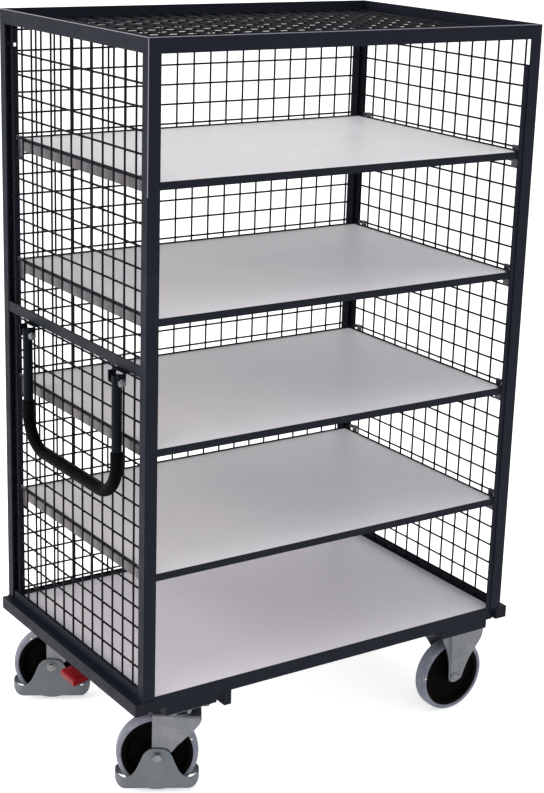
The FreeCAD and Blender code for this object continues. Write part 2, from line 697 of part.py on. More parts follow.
def swivel_fork():
    """A pressed fork: a crown with a race cup, and two legs that flare towards the pivot."""
    sheet_t, inside = size("fork_sheet"), size("fork_inside") / 2
    top, trail, axle_z = size("crown_top"), size("trail"), size("wheel") / 2
    outside = inside + sheet_t
    crease, nose, flare = -33.0, 48.0, 13.0
    tail = -trail - 13
    plan = [(tail, inside), (crease, inside), (nose, inside + flare),
            (nose, outside + flare), (crease, outside), (tail, outside)]
    leg = prism([Vector(x, y, axle_z - 20) for x, y in plan], top - axle_z + 20, UP)
    legs = leg.fuse(leg.mirror(Vector(), ALONG_Y))
    side = [(tail, top), (tail, axle_z), (tail, axle_z - 20), (-trail, axle_z - 20),
            (-trail + 9.2, axle_z - 9.2), (-22, axle_z + 9), (38, top - 34), (nose, top - 18),
            (nose, top)]
    profile = prism([Vector(x, -60, z) for x, z in side], 120, ALONG_Y)
    legs = legs.common(profile)
    foot_cut = prism([Vector(x, -60, z) for x, z in
                      ((tail - 1, axle_z), (-trail + 9.2, axle_z), (-trail + 9.2, axle_z - 21),
                       (tail - 1, axle_z - 21))], 120, ALONG_Y)
    foot = Part.makeCylinder(13, 120, Vector(-trail, -60, axle_z), ALONG_Y)
    legs = legs.cut(foot_cut.cut(foot))
    crown_plan = [(tail, -outside), (crease, -outside), (nose, -outside - flare),
                  (nose, outside + flare), (crease, outside), (tail, outside)]
    crown = prism([Vector(x, y, top - 5) for x, y in crown_plan], 5, UP)
    radius = size("pivot_head") / 2
    cup = Part.makeCylinder(radius + 5, 2, Vector(0, 0, top))
    cup = cup.cut(Part.makeCylinder(radius + 0.5, 2, Vector(0, 0, top)))
    fork = crown.multiFuse([legs, cup])
    fork = fork.cut(Part.makeCylinder(5.5, 10, Vector(0, 0, top - 7)))
    axle = Part.makeCylinder(size("axle") / 2, 120, Vector(-trail, -60, axle_z), ALONG_Y)
    return fork.cut(axle).removeSplitter()


def fixed_fork():
    """A rigid fork: its plate and two tapered legs, whose side wings flare out to the plate."""
    sheet_t, inside = size("fork_sheet"), size("fork_inside") / 2
    axle_z = size("wheel") / 2
    top = size("caster_height") - size("plate_thick")
    flat, edge = 18.0, 68.0
    flare = size("plate_wide") / 2 - sheet_t - inside
    plan = [(-edge, inside + flare), (-flat, inside), (flat, inside), (edge, inside + flare),
            (edge, inside + flare + sheet_t), (flat, inside + sheet_t),
            (-flat, inside + sheet_t), (-edge, inside + flare + sheet_t)]
    leg = prism([Vector(x, y, axle_z - 20) for x, y in plan], top - axle_z + 20, UP)
    legs = leg.fuse(leg.mirror(Vector(), ALONG_Y))
    outline = [(edge, top), (66, top - 14), (54, axle_z + 88), (42, axle_z + 63),
               (32, axle_z + 37), (25, axle_z + 13), (22, axle_z), (19, axle_z - 8),
               (12, axle_z - 14), (0, axle_z - 17), (-12, axle_z - 14), (-19, axle_z - 8),
               (-22, axle_z), (-22, axle_z + 13), (-24, axle_z + 37), (-31, axle_z + 63),
               (-43, axle_z + 88), (-60, top - 18), (-67, top - 2), (-edge, top)]
    profile = prism([Vector(x, -60, z) for x, z in outline], 120, ALONG_Y)
    plate_part = top_plate(size("fixed_plate"), "fixed_bolts")
    fork = plate_part.fuse(legs.common(profile))
    axle = Part.makeCylinder(size("axle") / 2, 120, Vector(0, -60, axle_z), ALONG_Y)
    return fork.cut(axle).removeSplitter()


def axle_bolt(centre_x, reach, head):
    """An axle bolt across the fork, with the same head on both sides."""
    axle_z = size("wheel") / 2
    pieces = [Part.makeCylinder(size("axle") / 2, 2 * reach, Vector(centre_x, -reach, axle_z),
                                ALONG_Y)]
    for side in (-1, 1):
        pieces += head(Vector(centre_x, side * reach, axle_z), ALONG_Y * side)
    return pieces[0].multiFuse(pieces[1:]).removeSplitter()


def flanged_head(seat, direction):
    """A hex head on a round flange."""
    return [Part.makeCylinder(13, 2.5, seat, direction), hexagon(18, 9, seat, direction)]


def domed_head(seat, direction):
    return [dome_head(seat, 10.5, 6.5, direction)]


def guard_spacers(centre_x):
    """Washers that fill the gap between the fork's legs and the foot guard."""
    inner = size("fork_inside") / 2 + size("fork_sheet")
    outer = size("guard_wide") / 2 - size("guard_wall")
    return [Part.makeCylinder(14, outer - inner,
                              Vector(centre_x, side * inner, size("wheel") / 2), ALONG_Y * side)
            for side in (-1, 1)]


def foot_guard():
    """A plastic skirt around the lower wheel, with bell-shaped sides that reach the axle."""
    long, wide, wall = size("guard_long"), size("guard_wide"), size("guard_wall")
    low, centre_x = size("guard_low"), -size("trail")
    axle_z = size("wheel") / 2
    high = axle_z + 22
    outer = rounded_prism(long, wide, 26, low, high)
    inner = rounded_prism(long - 2 * wall, wide - 2 * wall, 26 - wall, low - 1, high + 1)
    skirt = outer.cut(inner)
    half = long / 2 + 1
    crest, dip, end_top = axle_z + 21, 44.0, 50.0
    bell = Part.BSplineCurve()
    bell.interpolate([Vector(-80, 0, dip), Vector(-60, 0, dip + 9), Vector(-44, 0, 82),
                      Vector(-33, 0, 108), Vector(0, 0, crest), Vector(33, 0, 108),
                      Vector(44, 0, 82), Vector(60, 0, dip + 9), Vector(80, 0, dip)])
    corner = 24.0
    lean = corner * (1 - math.sqrt(0.5))
    edges = [bell.toShape(),
             Part.makeLine(Vector(80, 0, dip), Vector(96, 0, end_top)),
             Part.makeLine(Vector(96, 0, end_top), Vector(half, 0, end_top)),
             Part.makeLine(Vector(half, 0, end_top), Vector(half, 0, low + corner)),
             Part.Arc(Vector(half, 0, low + corner), Vector(half - lean, 0, low + lean),
                      Vector(half - corner, 0, low)).toShape(),
             Part.makeLine(Vector(half - corner, 0, low), Vector(corner - half, 0, low)),
             Part.Arc(Vector(corner - half, 0, low), Vector(lean - half, 0, low + lean),
                      Vector(-half, 0, low + corner)).toShape(),
             Part.makeLine(Vector(-half, 0, low + corner), Vector(-half, 0, end_top)),
             Part.makeLine(Vector(-half, 0, end_top), Vector(-96, 0, end_top)),
             Part.makeLine(Vector(-96, 0, end_top), Vector(-80, 0, dip))]
    face = Part.Face(Part.Wire(Part.sortEdges(edges)[0]))
    face.translate(Vector(0, -wide, 0))
    guard = skirt.common(face.extrude(ALONG_Y * 2 * wide))
    hole = Part.makeCylinder(size("axle") / 2 + 0.2, 2 * wide, Vector(0, -wide, axle_z), ALONG_Y)
    guard = guard.cut(hole)
    guard.translate(Vector(centre_x, 0, 0))
    return guard


def rounded_prism(long, wide, corner, low, high):
    """An upright prism with a round-cornered plan."""
    block = Part.makeBox(long, wide, high - low, Vector(-long / 2, -wide / 2, low))
    upright = [edge for edge in block.Edges
               if abs(edge.Vertexes[0].Z - edge.Vertexes[-1].Z) > 1]
    return block.makeFillet(corner, upright)


def rim():
    """A wheel centre: hub, web and seat for the tyre, turned about Y at the origin."""
    bore, hub = size("axle") / 2 + 0.05, size("hub_long") / 2
    seat = size("wheel") / 2 - size("tread")
    half = size("wheel_wide") / 2 - 2
    outline = [(bore, 0), (bore, hub), (17, hub), (20, 12), (26, 7), (seat - 14, 7),
               (seat - 9, half), (seat, half)]
    return turned(outline + [(r, -y) for r, y in reversed(outline[1:])])


def tyre():
    """A soft tyre with rounded shoulders around the wheel centre."""
    seat, tread = size("wheel") / 2 - size("tread"), size("wheel") / 2
    half = size("wheel_wide") / 2
    outline = [(seat, 0), (seat, half - 2), (seat + 3, half), (tread - 6, half - 1.5),
               (tread - 2, half - 4.5), (tread, half - 9)]
    return turned(outline + [(r, -y) for r, y in reversed(outline[1:])])


def turned(outline):
    """Turn a closed outline of (radius, y) points about the Y axis."""
    points = [Vector(r, y, 0) for r, y in outline]
    return Part.Face(Part.makePolygon(points + points[:1])).revolve(Vector(), ALONG_Y, 360)


def wheel(label, at, turn):
    """One wheel as two nodes, its centre piece and its tyre."""
    node("rim_" + label, feature("rim_shape_" + label, rim(), turn, at))
    node("tyre_" + label, feature("tyre_shape_" + label, tyre(), turn, at))


def swivel_casters():
    turn = size("swivel_turn")
    trail, axle_z = size("trail"), size("wheel") / 2
    for label, rear in (("front_left", False), ("rear_left", True)):
        at = caster_spot(size("caster_x"), rear)
        node("swivel_plate_" + label, feature("head_" + label, swivel_head(), 0, at))
        node("swivel_fork_" + label, feature("fork_" + label, swivel_fork(), turn, at))
        bolt = axle_bolt(-trail, size("guard_wide") / 2, flanged_head)
        bolt = bolt.multiFuse(guard_spacers(-trail)).removeSplitter()
        node("axle_bolt_" + label, feature("axle_" + label, bolt, turn, at))
        node("foot_guard_" + label, feature("guard_" + label, foot_guard(), turn, at))
        node("brake_shoe_" + label, feature("shoe_" + label, brake_shoe(), turn, at))
        offset = FreeCAD.Rotation(UP, turn).multVec(Vector(-trail, 0, axle_z))
        wheel(label, at + offset, turn)


def fixed_casters():
    reach = size("fork_inside") / 2 + size("fork_sheet")
    bolts = []
    for label, rear in (("front_right", False), ("rear_right", True)):
        at = caster_spot(size("cage_length - fixed_x"), rear)
        node("fixed_fork_" + label, feature("fixed_" + label, fixed_fork(), 0, at))
        bolt = axle_bolt(0, reach, domed_head)
        bolt.translate(at)
        bolts.append(bolt)
        wheel(label, at + Vector(0, 0, size("wheel") / 2), 0)
    node("fixed_axle_bolts", feature("fixed_axles", Part.makeCompound(bolts)))


def caster_bolts():
    """Hex bolts and nuts that hold the four caster plates to the channels."""
    bolts = []
    low = size("caster_height - plate_thick")
    stem = size("plate_thick + channel_wall")
    for x, pattern in ((size("caster_x"), "swivel_bolts"),
                       (size("cage_length - fixed_x"), "fixed_bolts")):
        for rear in (False, True):
            for bolt_x, bolt_y in bolt_places(pattern):
                centre = caster_spot(x, rear) + Vector(bolt_x, bolt_y, low)
                head = hexagon(17, 6.5, centre, -UP)
                shank = Part.makeCylinder(5, stem + 10, centre)
                nut = hexagon(17, 8, centre + UP * stem, UP)
                bolts.append(head.multiFuse([shank, nut]))
    node("caster_bolts", feature("plate_bolts", Part.makeCompound(bolts)))


# ---- central brake ---------------------------------------------------------------------------

def brake_shoe():
    """A plunger down the pivot with a shoe under it, hollowed to the tyre's round."""
    trail, axle_z, gap = size("trail"), size("wheel") / 2, size("shoe_gap")
    plunger = Part.makeCylinder(4, 15.5, Vector(0, 0, 199))
    block = Part.makeBox(28, 28, 32, Vector(-14, -14, 171))
    round_out = Part.makeCylinder(axle_z + gap, 60, Vector(-trail, -30, axle_z), ALONG_Y)
    return plunger.fuse(block.cut(round_out)).removeSplitter()


def brake_linkage():
    """The hex shaft between the swivel casters, with its bearings, arm and foot pad."""
    x, high = size("caster_x"), size("brake_z")
    depth = size("cage_depth")
    start = size("caster_y") - size("pivot_head") / 2 - 10
    shaft = hexagon(size("brake_hex"), depth - 2 * start, spot(x, start, high), ALONG_Y)
    node("brake_shaft", feature("hex_bar", shaft))
    blocks = []
    for y in (depth / 2 - 80, depth / 2 + 64):
        block = Part.makeBox(34, 16, size("caster_height") - high + 11, spot(x - 17, y, high - 11))
        blocks.append(block.cut(Part.makeCylinder(6.6, 20, spot(x, y - 2, high), ALONG_Y)))
    node("shaft_bearings", feature("bearing_blocks", Part.makeCompound(blocks)))
    node("pedal_arm", feature("arm_bar", pedal_arm(x, high)))
    node("pedal_pad", feature("foot_pad", pedal_pad(high)))


def pedal_arm(x, high):
    """A flat bar from the shaft out under the end rail, with an eye around the shaft."""
    wide = 26
    middle = size("cage_depth / 2 - pedal_shift") - wide / 2
    outline = [(x, high - 11), (20, high - 8), (-16, high - 14), (-16, high - 8),
               (20, high - 2), (x, high - 2)]
    arm = prism([spot(px, middle, pz) for px, pz in outline], wide, ALONG_Y)
    arm = arm.fuse(Part.makeCylinder(11, wide, spot(x, middle, high), ALONG_Y))
    eye = hexagon(size("brake_hex"), wide + 2, spot(x, middle - 1, high), ALONG_Y)
    return arm.cut(eye).removeSplitter()


def pedal_pad(high):
    """A wedge-shaped foot pad on the arm, thickest at its outer lip."""
    wide, deep = size("pad_wide"), size("pad_deep")
    outer = -size("rail_reach") - 3
    outline = [(outer, high - 9), (outer, high + 5), (outer + 5, high + 8),
               (outer + deep, high + 15), (outer + deep, high + 1), (20, high - 2),
               (-16, high - 8), (outer + 9, high - 12)]
    start = size("cage_depth / 2 - pedal_shift") - wide / 2
    return prism([spot(px, start, pz) for px, pz in outline], wide, ALONG_Y)


# ---- build -----------------------------------------------------------------------------------

def build():
    end_rail("end_rail_left", "-rail_reach")
    end_rail("end_rail_right", RIGHT_INNER)
    end_rail_caps()
    long_rails()
    deck()
    cross_members()
    caster_channels()
    for side in ("left", "right"):
        for end in ("front", "rear"):
            post("post_%s_%s" % (end, side), side == "right", end == "rear")
    top_rail_long("top_rail_front", False)
    top_rail_long("top_rail_rear", True)
    top_rail_side("top_rail_left", False)
    top_rail_side("top_rail_right", True)
    foot_angles()
    mid_rail()
    side_mesh("mesh_left", size("steel"), 1, size("left_wire_y"))
    side_mesh("mesh_right", size("cage_length - steel"), -1, size("right_wire_y"))
    rear_mesh()
    roof_mesh()
    panel_fixings()
    shelves()
    handle_brackets()
    handle_bolts()
    push_handle()
    swivel_casters()
    fixed_casters()
    caster_bolts()
    brake_linkage()


def check_and_write():
    """Stop on any failed object, then write one STEP file for each node."""
    doc.recompute()
    for item in doc.Objects:
        if "Invalid" in item.State or "Error" in item.State:
            raise RuntimeError("%s failed: %s" % (item.Name, item.State))
    for item in NODES:
        if item.Shape.isNull() or not item.Shape.isValid():
            raise RuntimeError("%s has no valid shape" % item.Label)
    os.makedirs("parts", exist_ok=True)
    for item in NODES:
        item.Shape.exportStep("parts/%s.step" % item.Label)
    print(len(NODES), "nodes written")


build()
check_and_write()
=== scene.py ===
"""Looks for the shelved mesh trolley: finer meshes, procedural materials, studio and camera.

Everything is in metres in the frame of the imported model. Places in the cage are written from the
foot of its front left corner, and cage() turns them into that frame.
"""
import json
import math
import bpy
import bmesh
from mathutils import Matrix, Vector


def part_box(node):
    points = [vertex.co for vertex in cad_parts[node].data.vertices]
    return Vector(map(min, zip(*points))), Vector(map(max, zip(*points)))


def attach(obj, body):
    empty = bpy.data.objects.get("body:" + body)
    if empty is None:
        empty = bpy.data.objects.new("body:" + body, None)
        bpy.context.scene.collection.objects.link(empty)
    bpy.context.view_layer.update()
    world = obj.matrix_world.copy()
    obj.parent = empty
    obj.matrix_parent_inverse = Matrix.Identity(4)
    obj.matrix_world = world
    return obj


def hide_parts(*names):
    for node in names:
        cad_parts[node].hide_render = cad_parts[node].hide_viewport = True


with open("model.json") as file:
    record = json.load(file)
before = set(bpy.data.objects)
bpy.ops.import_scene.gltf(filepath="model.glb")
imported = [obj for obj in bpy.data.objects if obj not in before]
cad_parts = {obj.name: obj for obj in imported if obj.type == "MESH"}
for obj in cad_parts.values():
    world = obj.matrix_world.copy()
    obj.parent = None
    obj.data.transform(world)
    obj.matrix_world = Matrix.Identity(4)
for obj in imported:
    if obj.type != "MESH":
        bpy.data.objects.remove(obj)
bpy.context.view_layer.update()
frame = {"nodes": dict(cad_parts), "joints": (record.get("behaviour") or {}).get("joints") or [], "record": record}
NODES = frame["nodes"]
JOINTS = {joint["name"]: joint for joint in frame["joints"]}
BODY_OF = {name: body for body, names in frame["record"]["behaviour"]["bodies"].items()
           for name in names}
SLOT_OF = {part["node"]: part["material_slot"] for part in frame["record"]["subparts"]}


# ---- materials -------------------------------------------------------------------------------

class Shader:
    """A small builder for one principled material."""

    def __init__(self, name):
        self.item = bpy.data.materials.new(name)
        self.item.use_nodes = True
        self.tree = self.item.node_tree
        self.tree.nodes.clear()
        self.last_bump = None
        self.bsdf = self.add("ShaderNodeBsdfPrincipled")
        output = self.add("ShaderNodeOutputMaterial")
        self.tree.links.new(self.bsdf.outputs["BSDF"], output.inputs["Surface"])
        self.where = self.add("ShaderNodeTexCoord").outputs["Object"]

    def add(self, kind, **values):
        """A new node, with the values given to its properties."""
        made = self.tree.nodes.new(kind)
        for key, value in values.items():
            setattr(made, key, value)
        return made

    def link(self, source, target):
        self.tree.links.new(source, target)

    def set(self, **values):
        """Constants on the shader's own sockets, with _ for each space in a socket's name."""
        for key, value in values.items():
            self.bsdf.inputs[key.replace("_", " ")].default_value = value
        return self

    def stretch(self, scale):
        """Object coordinates scaled along the three axes."""
        mapping = self.add("ShaderNodeMapping")
        mapping.inputs["Scale"].default_value = scale
        self.link(self.where, mapping.inputs["Vector"])
        return mapping.outputs["Vector"]

    def noise(self, scale, detail=4.0, rough=0.55, where=None, distortion=0.0):
        made = self.add("ShaderNodeTexNoise")
        made.inputs["Scale"].default_value = scale
        made.inputs["Detail"].default_value = detail
        made.inputs["Roughness"].default_value = rough
        made.inputs["Distortion"].default_value = distortion
        self.link(where or self.where, made.inputs["Vector"])
        return made.outputs["Fac"]

    def cells(self, scale):
        """Distance to the middle of each cell of a fine pearl texture."""
        made = self.add("ShaderNodeTexVoronoi")
        made.inputs["Scale"].default_value = scale
        self.link(self.where, made.inputs["Vector"])
        return made.outputs["Distance"]

    def ramp(self, factor, stops):
        """Colours along a factor, from (place, colour) stops."""
        made = self.add("ShaderNodeValToRGB")
        band = made.color_ramp.elements
        while len(band) < len(stops):
            band.new(0.5)
        for element, (place, colour) in zip(band, stops):
            element.position = place
            element.color = (*colour, 1.0)
        self.link(factor, made.inputs["Fac"])
        return made.outputs["Color"]

    def spread(self, factor, low, high, start=0.3, end=0.7):
        """The factor's stretch from start to end, mapped to low to high."""
        made = self.add("ShaderNodeMapRange")
        for key, value in (("From Min", start), ("From Max", end), ("To Min", low),
                           ("To Max", high)):
            made.inputs[key].default_value = value
        self.link(factor, made.inputs["Value"])
        return made.outputs["Result"]

    def blend(self, factor, first, second, kind="MIX"):
        """Two colours, each a tuple or a socket, mixed by a factor."""
        made = self.add("ShaderNodeMix", data_type="RGBA", blend_type=kind)
        self.link(factor, made.inputs["Factor"])
        for socket, value in (("A", first), ("B", second)):
            target = [s for s in made.inputs if s.name == socket and s.type == "RGBA"][0]
            if isinstance(value, tuple):
                target.default_value = (*value, 1.0)
            else:
                self.link(value, target)
        return [s for s in made.outputs if s.type == "RGBA"][0]

    def bump(self, height, strength, distance):
        """Relief from a height, laid over any relief before it."""
        made = self.add("ShaderNodeBump")
        made.inputs["Strength"].default_value = strength
        made.inputs["Distance"].default_value = distance
        self.link(height, made.inputs["Height"])
        if self.last_bump:
            self.link(self.last_bump, made.inputs["Normal"])
        self.last_bump = made.outputs["Normal"]

    def done(self, colour, roughness=None):
        """Join the colour, roughness and relief to the shader, and give its material."""
        self.link(colour, self.bsdf.inputs["Base Color"])
        if roughness is not None:
            self.link(roughness, self.bsdf.inputs["Roughness"])
        if self.last_bump:
            self.link(self.last_bump, self.bsdf.inputs["Normal"])
        return self.item


def powder_coat(name, colour, light, gloss=0.06):
    """Near-black powder coat: fine orange peel, faint dust, and paler rubbed patches."""
    m = Shader(name).set(Specular_IOR_Level=gloss)
    wear = m.noise(3.0, 6.0, 0.6)
    shade = m.ramp(wear, [(0.35, colour), (0.62, colour), (0.8, light)])
    dust = m.noise(55.0, 3.0, 0.7)
    shade = m.blend(m.spread(dust, 0.0, 0.10, 0.5, 0.8), shade, light)
    m.bump(m.noise(900.0, 2.0, 0.5), 0.12, 0.0004)
    return m.done(shade, m.spread(m.noise(20.0, 5.0), 0.40, 0.55))


def zinc_plate(name, cool, warm, low=0.28, high=0.46, grain=(9.0, 9.0, 60.0), metal=0.85):
    """Bright zinc plating: cool and warm clouds, rolling streaks and a fine satin grain."""
    m = Shader(name).set(Metallic=metal)
    clouds = m.noise(16.0, 6.0, 0.6, distortion=0.6)
    shade = m.ramp(clouds, [(0.3, cool), (0.52, tuple((c + w) / 2 for c, w in zip(cool, warm))),
                            (0.72, warm)])
    streak = m.noise(14.0, 3.0, 0.6, m.stretch(grain))
    shade = m.blend(m.spread(streak, 0.0, 0.35, 0.4, 0.75), shade, cool, "MULTIPLY")
    m.bump(m.noise(700.0, 2.0), 0.10, 0.0003)
    m.bump(streak, 0.05, 0.0006)
    return m.done(shade, m.spread(m.noise(45.0, 5.0), low, high))


def laminate(name, pale, dim):
    """Light grey melamine: a pearl texture, faint clouds and long hairline scuffs."""
    m = Shader(name).set(Specular_IOR_Level=0.3)
    clouds = m.noise(2.2, 5.0, 0.5)
    shade = m.ramp(clouds, [(0.3, dim), (0.7, pale)])
    scuffs = m.noise(30.0, 4.0, 0.7, m.stretch((1.0, 22.0, 1.0)))
    shade = m.blend(m.spread(scuffs, 0.0, 0.25, 0.66, 0.8), shade, dim)
    m.bump(m.cells(1400.0), 0.10, 0.0003)
    return m.done(shade, m.spread(m.noise(9.0, 4.0), 0.38, 0.5))


def soft_rubber(name, pale, dim, dusty):
    """Grey tyre rubber: mottled, dusty in patches, and matt."""
    m = Shader(name).set(Specular_IOR_Level=0.3)
    clouds = m.noise(34.0, 6.0, 0.62, distortion=0.4)
    shade = m.ramp(clouds, [(0.32, dim), (0.66, pale)])
    shade = m.blend(m.spread(m.noise(120.0, 5.0, 0.7), 0.0, 0.3, 0.55, 0.8), shade, dusty)
    m.bump(m.noise(520.0, 3.0, 0.6), 0.22, 0.0005)
    return m.done(shade, m.spread(m.noise(70.0), 0.5, 0.72))


def moulded(name, colour, light, low, high, grain=1100.0, strength=0.16, gloss=0.3):
    """Moulded plastic: a spark-eroded grain, slight clouding and small scuffs."""
    m = Shader(name).set(Specular_IOR_Level=gloss)
    clouds = m.noise(18.0, 5.0, 0.6)
    shade = m.ramp(clouds, [(0.3, colour), (0.75, light)])
    scuffs = m.noise(26.0, 6.0, 0.75, m.stretch((3.0, 1.0, 9.0)))
    shade = m.blend(m.spread(scuffs, 0.0, 0.3, 0.64, 0.8), shade, light)
    m.bump(m.noise(grain, 2.0, 0.5), strength, 0.0004)
    return m.done(shade, m.spread(m.noise(40.0, 4.0), low, high))


MATERIALS = {
    "frame_paint": powder_coat("frame_powder_coat", (0.0072, 0.0092, 0.0150),
                               (0.018, 0.020, 0.029)),
    "mesh_paint": powder_coat("mesh_powder_coat", (0.0075, 0.0072, 0.0100),
                              (0.016, 0.016, 0.020), 0.05),
    "shelf_laminate": laminate("shelf_melamine", (0.62, 0.61, 0.635), (0.56, 0.555, 0.58)),
    "deck_laminate": laminate("deck_melamine", (0.62, 0.60, 0.635), (0.57, 0.555, 0.59)),
    "zinc": zinc_plate("zinc_rail", (0.078, 0.074, 0.084), (0.122, 0.114, 0.126), metal=0.6),
    "zinc_pressed": zinc_plate("zinc_pressing", (0.126, 0.138, 0.156), (0.186, 0.190, 0.198)),
    "zinc_screws": zinc_plate("zinc_fastener", (0.12, 0.135, 0.145), (0.24, 0.245, 0.24),
                              0.16, 0.3),
    "plain_bar": zinc_plate("drawn_bar", (0.16, 0.17, 0.18), (0.24, 0.23, 0.22)),
    "black_plastic": moulded("cap_plastic", (0.0068, 0.0074, 0.0110), (0.014, 0.015, 0.020),
                             0.4, 0.55, gloss=0.05),
    "grip_foam": moulded("grip_sleeve_skin", (0.0007, 0.0007, 0.0008), (0.0020, 0.0020, 0.0022),
                         0.45, 0.6, 700.0, 0.3, gloss=0.02),
    "handle_paint": powder_coat("handle_powder_coat", (0.0012, 0.0026, 0.0042),
                                (0.004, 0.006, 0.008)),
    "guard_plastic": moulded("guard_moulding", (0.094, 0.108, 0.120), (0.118, 0.133, 0.145),
                             0.5, 0.64),
    "tyre_grey": soft_rubber("tyre_rubber", (0.170, 0.182, 0.220), (0.112, 0.122, 0.157),
                             (0.21, 0.22, 0.25)),
    "rim_black": moulded("rim_nylon", (0.0006, 0.0004, 0.0003), (0.0018, 0.0013, 0.0009), 0.5,
                         0.65, 900.0, 0.1, 0.02),
    "shoe_rubber": moulded("shoe_block", (0.02, 0.02, 0.02), (0.04, 0.04, 0.04), 0.6, 0.75),
    "pedal_red": moulded("pedal_moulding", (0.135, 0.001, 0.003), (0.180, 0.001, 0.005), 0.3,
                         0.44, 800.0, 0.12, 0.12),
    # A pale coat that paints the highlight on lit frame edges.
    "painted_highlight_coat": powder_coat("painted_highlight_powder_coat", (0.165, 0.155, 0.195),
                               (0.27, 0.26, 0.31), 0.3),
    "wear_dot": moulded("wear_dot_rubber", (0.75, 0.68, 0.45), (0.85, 0.80, 0.60), 0.4, 0.5),
}


def dress_nodes():
    """Give each CAD node its slot's material, in place of what it has."""
    for name, item in NODES.items():
        item.data.materials.clear()
        item.data.materials.append(MATERIALS[SLOT_OF[name]])


# ---- places ----------------------------------------------------------------------------------

MM = 0.001
STEEL = 3
SWIVEL_TURN = math.radians(-30)
FLOOR_TO_AXLE = 100
TRAIL = 55
CORNER = Vector(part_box("post_front_left")[0]) + Vector((STEEL, STEEL, 0)) * MM


def cage(x, y, z):
    """A place in the cage, in millimetres from its front left corner and the floor, in metres."""
    return Vector((CORNER.x + x * MM, CORNER.y + y * MM, z * MM))


def pivot(joint):
    """The place of a joint at rest."""
    return Vector(JOINTS[joint]["pos_m"])


def floor_place(joint):
    """The matrix that takes millimetres from the floor under a joint to the frame."""
    at = pivot(joint)
    return Matrix.Translation((at.x, at.y, 0)) @ Matrix.Scale(MM, 4)


def swivel_place(label):
    """The matrix that takes a swivel caster's own millimetres to the frame."""
    return floor_place("swivel_turn_" + label) @ Matrix.Rotation(SWIVEL_TURN, 4, "Z")


def wheel_place(label):
    """The matrix that takes a wheel's own millimetres, turned about Y, to the frame."""
    turn = SWIVEL_TURN if "left" in label else 0.0
    return (Matrix.Translation(pivot("wheel_spin_" + label)) @ Matrix.Rotation(turn, 4, "Z")
            @ Matrix.Scale(MM, 4))


# ---- mesh helpers ----------------------------------------------------------------------------

def piece(name, bm, body, slot, *nodes, place=None, crease=38):
    """Finish a bmesh as a shown piece that rides on a body and may stand for CAD nodes."""
    if place is not None:
        bmesh.ops.transform(bm, matrix=place, verts=bm.verts)
    bmesh.ops.recalc_face_normals(bm, faces=bm.faces)
    mesh = bpy.data.meshes.new(name)
    bm.to_mesh(mesh)
    bm.free()
    mesh.shade_smooth()
    mesh.set_sharp_from_angle(angle=math.radians(crease))
    item = bpy.data.objects.new(name, mesh)
    bpy.context.scene.collection.objects.link(item)
    mesh.materials.append(MATERIALS[slot])
    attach(item, body)
    if nodes:
        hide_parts(*nodes)
    return item


def corners(node):
    """A node's lowest and highest corners as vectors, in metres."""
    return [Vector(corner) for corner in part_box(node)]


def round_edges(item, width, segments=2, angle=30):
    """Round an object's edges over by a width in millimetres."""
    soft = item.modifiers.new("edge_rounding", "BEVEL")
    soft.width = width * MM
    soft.segments = segments
    soft.limit_method = "ANGLE"
    soft.angle_limit = math.radians(angle)


def thicken(item, thick):
    """Give a sheet a wall of some millimetres, half on each side."""
    wall = item.modifiers.new("wall", "SOLIDIFY")
    wall.thickness = thick * MM
    wall.offset = 0.0
    return item


def merged_copy(node):
    """A node's mesh with its triangles joined into whole faces."""
    bm = bmesh.new()
    bm.from_mesh(NODES[node].data)
    bmesh.ops.remove_doubles(bm, verts=bm.verts, dist=2e-6)
    bmesh.ops.dissolve_limit(bm, angle_limit=math.radians(0.8), verts=bm.verts, edges=bm.edges)
    return bm


def rounded_copy(node, width):
    """The node's own shape with its edges rounded over."""
    round_edges(piece(node + "_rounded", merged_copy(node), BODY_OF[node], SLOT_OF[node], node),
                width)


def skin(bm, rings, closed=True, capped=False):
    """Faces between successive rings of points; closed joins each ring's end to its start."""
    rows = [[bm.verts.new(point) for point in ring] for ring in rings]
    count = len(rows[0])
    for first, second in zip(rows, rows[1:]):
        for k in range(count if closed else count - 1):
            n = (k + 1) % count
            bm.faces.new((first[k], first[n], second[n], second[k]))
    if capped:
        bm.faces.new(rows[0])
        bm.faces.new(list(reversed(rows[-1])))


def eased(points, cut, steps=4):
    """An open run of 2-D points with each inner corner turned into a small curve."""
    out = [Vector(points[0])]
    for before, at, after in zip(points, points[1:], points[2:]):
        before, at, after = Vector(before), Vector(at), Vector(after)
        start = at + (before - at).normalized() * min(cut, (before - at).length * 0.45)
        end = at + (after - at).normalized() * min(cut, (after - at).length * 0.45)
        for k in range(steps + 1):
            t = k / steps
            out.append(start * (1 - t) ** 2 + at * 2 * t * (1 - t) + end * t ** 2)
    out.append(Vector(points[-1]))
    return out


def lathe_y(profile, sides):
    """Turn a (radius, y) profile and its mirror image about the Y axis."""
    loop = profile + [(radius, -y) for radius, y in reversed(profile[1:-1])]
    bm = bmesh.new()
    rings = []
    for k in range(sides + 1):
        turn = 2 * math.pi * k / sides
        rings.append([(r * math.cos(turn), y, r * math.sin(turn)) for r, y in loop])
    skin(bm, rings)
    bmesh.ops.remove_doubles(bm, verts=bm.verts, dist=0.001)
    return bm


def lathe_z(profile, sides=64, start=0, sweep=360):
    """Turn a closed (radius, z) profile about the Z axis, fully or through part of a turn."""
    bm = bmesh.new()
    rings = []
    for k in range(sides + 1):
        turn = math.radians(start + sweep * k / sides)
        rings.append([(r * math.cos(turn), r * math.sin(turn), z) for r, z in profile])
    skin(bm, rings, capped=sweep < 360)
    bmesh.ops.remove_doubles(bm, verts=bm.verts, dist=0.001)
    return bm


def ball(bm, centre, scale, level=2):
    """A small squashed ball, for weld spots and knobs."""
    made = bmesh.ops.create_icosphere(bm, subdivisions=level, radius=1.0)["verts"]
    for vert in made:
        vert.co = Vector(centre) + Vector(a * b for a, b in zip(vert.co, scale))


